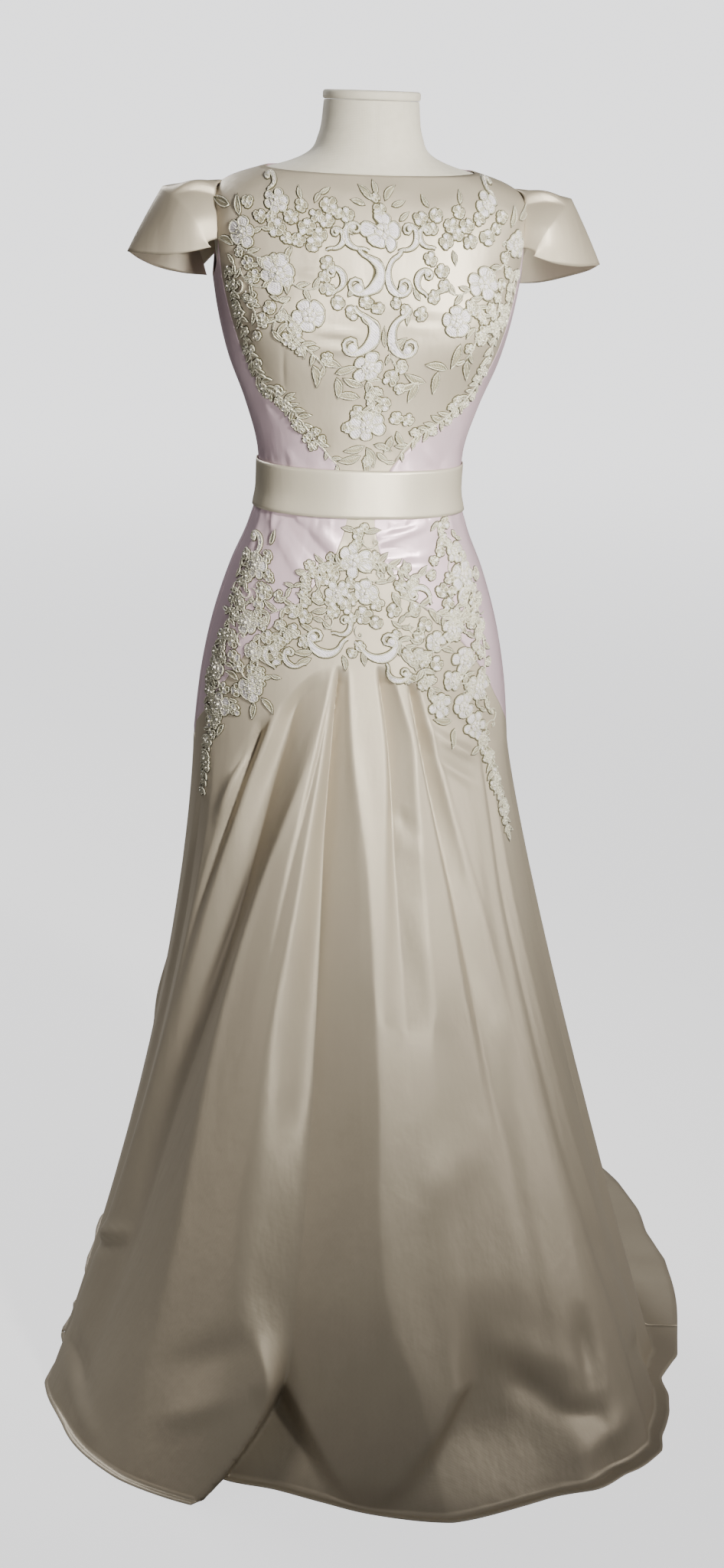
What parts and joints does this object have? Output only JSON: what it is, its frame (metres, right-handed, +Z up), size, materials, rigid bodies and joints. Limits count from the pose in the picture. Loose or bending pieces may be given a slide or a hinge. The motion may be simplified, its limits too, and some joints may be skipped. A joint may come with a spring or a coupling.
{
  "type": "wedding dress on a dress form",
  "caption": "Long satin wedding dress with cap sleeves, lace on bodice and hips, a plain belt, a pleated skirt and a swept train, worn by a limbless dress form on a round stand",
  "frame": {"origin": "centre of the underside of the stand's round base, on the floor", "axes": "+Z up, the dress's front faces -Y, +X is on the right of someone looking at its front, and the train lies on the floor towards +Y and +X"},
  "size_m": [0.8645, 1.2059, 1.5673],
  "materials": {
    "cream_satin": "satin weave with a soft sheen",
    "mauve_satin": "satin weave with a brighter sheen",
    "lace": "corded ivory lace with small beads",
    "form_linen": "matt plain-weave cover",
    "stand_steel": "dark semi-matt paint"
  },
  "bodies": {
    "root": {"bodice_front": "cream_satin", "bodice_side_left": "mauve_satin", "bodice_side_right": "mauve_satin", "bodice_back_left": "mauve_satin", "bodice_back_right": "mauve_satin", "belt": "cream_satin", "hip_front_left": "mauve_satin", "hip_front_right": "mauve_satin", "hip_back_left": "mauve_satin", "hip_back_right": "mauve_satin", "skirt_front": "cream_satin", "skirt_back_left": "cream_satin", "skirt_back_right": "cream_satin", "sleeve_left": "cream_satin", "sleeve_right": "cream_satin", "lace_bodice": "lace", "lace_hips": "lace", "lace_tail_left": "lace", "lace_tail_right": "lace", "form_torso": "form_linen", "form_neck_cap": "form_linen", "form_flange": "stand_steel", "stand_pole": "stand_steel", "stand_base": "stand_steel"}
  },
  "joints": []
}
